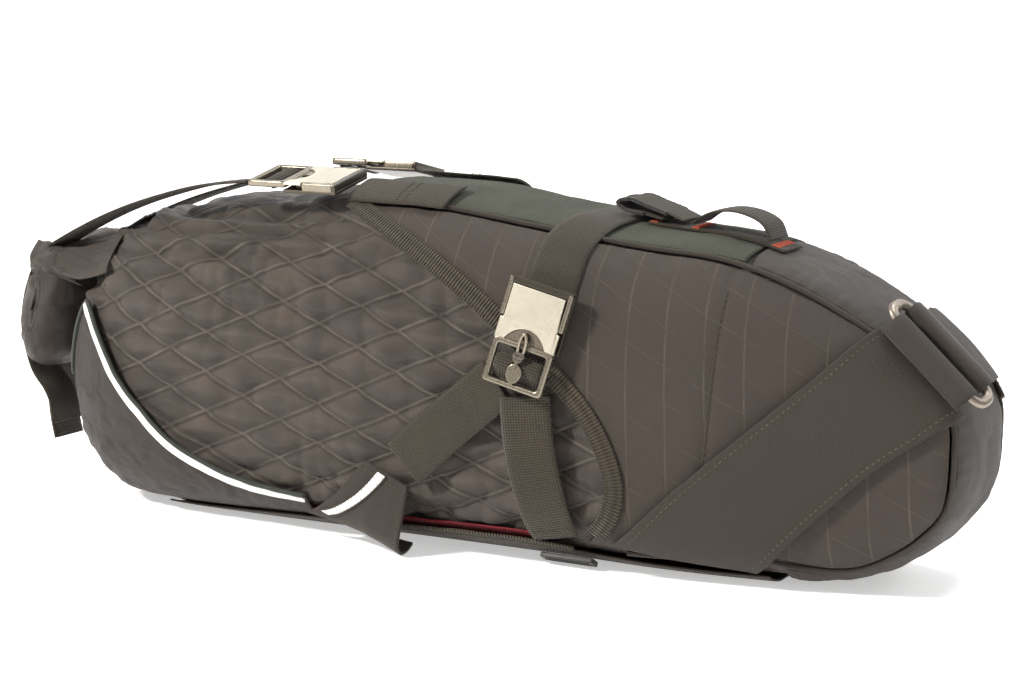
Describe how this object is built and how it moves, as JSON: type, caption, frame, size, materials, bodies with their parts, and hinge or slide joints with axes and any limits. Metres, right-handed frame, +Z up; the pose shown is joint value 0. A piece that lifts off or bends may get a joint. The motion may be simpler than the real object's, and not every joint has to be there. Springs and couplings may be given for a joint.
{
  "type": "saddle bag",
  "caption": "Bikepacking saddle bag: a sewn holster harness with webbing straps and slide buckles, holding a filled quilted roll-top dry bag.",
  "frame": {"origin": "on the floor plane under the middle of the bag, at the flat base panel's underside", "axes": "+X to the nose that straps to the seat post, +Y to the bag's left side, +Z up"},
  "size_m": [0.5282, 0.183, 0.1794],
  "materials": {
    "quilt": "quilted laminated nylon, satin",
    "laminate": "woven laminate with a fine grid of threads, satin",
    "green": "coarse woven nylon, matte",
    "webbing": "flat woven nylon webbing, matte",
    "tape": "ribbed grosgrain tape, matte",
    "reflective": "retroreflective piping, satin",
    "lining": "plain woven lining, satin",
    "plastic": "moulded nylon, matte",
    "metal": "anodised gunmetal, satin"
  },
  "bodies": {
    "harness": {"side_panel_right": "laminate", "side_panel_left": "laminate", "top_panel": "green", "nose_gusset": "laminate", "base_panel": "laminate", "base_stiffener": "plastic", "base_lining": "lining", "base_binding_right": "tape", "base_binding_left": "tape", "hem_binding_right": "tape", "hem_binding_left": "tape", "seam_piping_right": "laminate", "seam_piping_left": "laminate", "cup_apron_right": "laminate", "cup_apron_left": "laminate", "apron_piping_right": "reflective", "apron_piping_left": "reflective", "wing_right": "laminate", "wing_left": "laminate", "wing_strap_right": "webbing", "wing_strap_left": "webbing", "lower_strap_right": "webbing", "lower_strap_left": "webbing", "cross_strap": "webbing", "side_buckle_right_socket": "plastic", "top_buckle_right_socket": "plastic", "ladder_lock_right": "plastic", "side_buckle_left_socket": "plastic", "top_buckle_left_socket": "plastic", "ladder_lock_left": "plastic", "anchor_strap_right": "webbing", "anchor_strap_left": "webbing", "rail_webbing": "webbing", "rail_loop": "webbing", "post_fold_right": "laminate", "post_strap_right": "laminate", "post_strap_left": "laminate", "post_bridge": "laminate"},
    "dry_bag": {"dry_bag": "quilt", "roll_closure": "quilt"},
    "tail_cup": {"tail_cup": "laminate", "rim_piping_right": "reflective", "rim_piping_left": "reflective"},
    "top_strap_right": {"top_strap_right": "webbing"},
    "top_strap_left": {"top_strap_left": "webbing"},
    "side_slider_right": {"side_buckle_right_slider": "metal"},
    "side_slider_left": {"side_buckle_left_slider": "metal"},
    "side_pull_right": {"side_buckle_right_pull": "metal"},
    "side_pull_left": {"side_buckle_left_pull": "metal"},
    "top_slider_right": {"top_buckle_right_slider": "metal"},
    "top_slider_left": {"top_buckle_left_slider": "metal"},
    "tail_web": {"tail_web": "webbing"},
    "rail_flap": {"rail_flap": "webbing"},
    "post_ring": {"post_ring": "metal", "post_fold_left": "laminate"}
  },
  "joints": [
    {"name": "dry_bag_slide", "type": "slide", "parent": "harness", "child": "dry_bag", "axis": [-1, 0, 0], "range_m": [0, 0.03]},
    {"name": "tail_cup_hinge", "type": "hinge", "parent": "harness", "child": "tail_cup", "pos_m": [-0.1573, 0, 0.003], "axis": [0, -1, 0], "range_deg": [0, 45]},
    {"name": "top_strap_right_swing", "type": "hinge", "parent": "tail_cup", "child": "top_strap_right", "pos_m": [-0.2378, -0.03, 0.034], "axis": [0, -1, 0], "range_deg": [0, 90]},
    {"name": "top_strap_left_swing", "type": "hinge", "parent": "tail_cup", "child": "top_strap_left", "pos_m": [-0.2378, 0.03, 0.034], "axis": [0, -1, 0], "range_deg": [0, 90]},
    {"name": "side_slider_right_lift", "type": "hinge", "parent": "harness", "child": "side_slider_right", "pos_m": [0.06457, -0.08266, 0.13411], "axis": [-0.9743, -0.0116, 0.2249], "range_deg": [0, 30]},
    {"name": "side_pull_right_swing", "type": "hinge", "parent": "side_slider_right", "child": "side_pull_right", "pos_m": [0.06002, -0.08644, 0.11417], "axis": [-0.9743, -0.0116, 0.2249], "range_deg": [0, 80]},
    {"name": "top_slider_right_lift", "type": "hinge", "parent": "top_strap_right", "child": "top_slider_right", "pos_m": [-0.11042, -0.0411, 0.17206], "axis": [0, -0.9818, -0.1902], "range_deg": [0, 25]},
    {"name": "side_slider_left_lift", "type": "hinge", "parent": "harness", "child": "side_slider_left", "pos_m": [0.06457, 0.08266, 0.13411], "axis": [0.9743, -0.0116, -0.2249], "range_deg": [0, 30]},
    {"name": "side_pull_left_swing", "type": "hinge", "parent": "side_slider_left", "child": "side_pull_left", "pos_m": [0.06002, 0.08644, 0.11417], "axis": [0.9743, -0.0116, -0.2249], "range_deg": [0, 80]},
    {"name": "top_slider_left_lift", "type": "hinge", "parent": "top_strap_left", "child": "top_slider_left", "pos_m": [-0.11042, 0.0411, 0.17206], "axis": [0, -0.9818, 0.1902], "range_deg": [0, 25]},
    {"name": "tail_web_swing", "type": "hinge", "parent": "dry_bag", "child": "tail_web", "pos_m": [-0.2583, 0, 0.059], "axis": [0, 1, 0], "range_deg": [-10, 60]},
    {"name": "rail_flap_peel", "type": "hinge", "parent": "harness", "child": "rail_flap", "pos_m": [0.1077, -0.006, 0.1655], "axis": [0, 1, 0], "range_deg": [0, 50]},
    {"name": "post_ring_tilt", "type": "hinge", "parent": "harness", "child": "post_ring", "pos_m": [0.23906, -0.03702, 0.11339], "axis": [0.7336, 0.0286, -0.679], "range_deg": [0, 25]}
  ],
  "couplings": [
    {"joint": "tail_cup_hinge", "follows": "dry_bag_slide", "rad_per_m": 26.1},
    {"joint": "top_strap_right_swing", "follows": "dry_bag_slide", "rad_per_m": 52.2},
    {"joint": "top_strap_left_swing", "follows": "dry_bag_slide", "rad_per_m": 52.2}
  ]
}
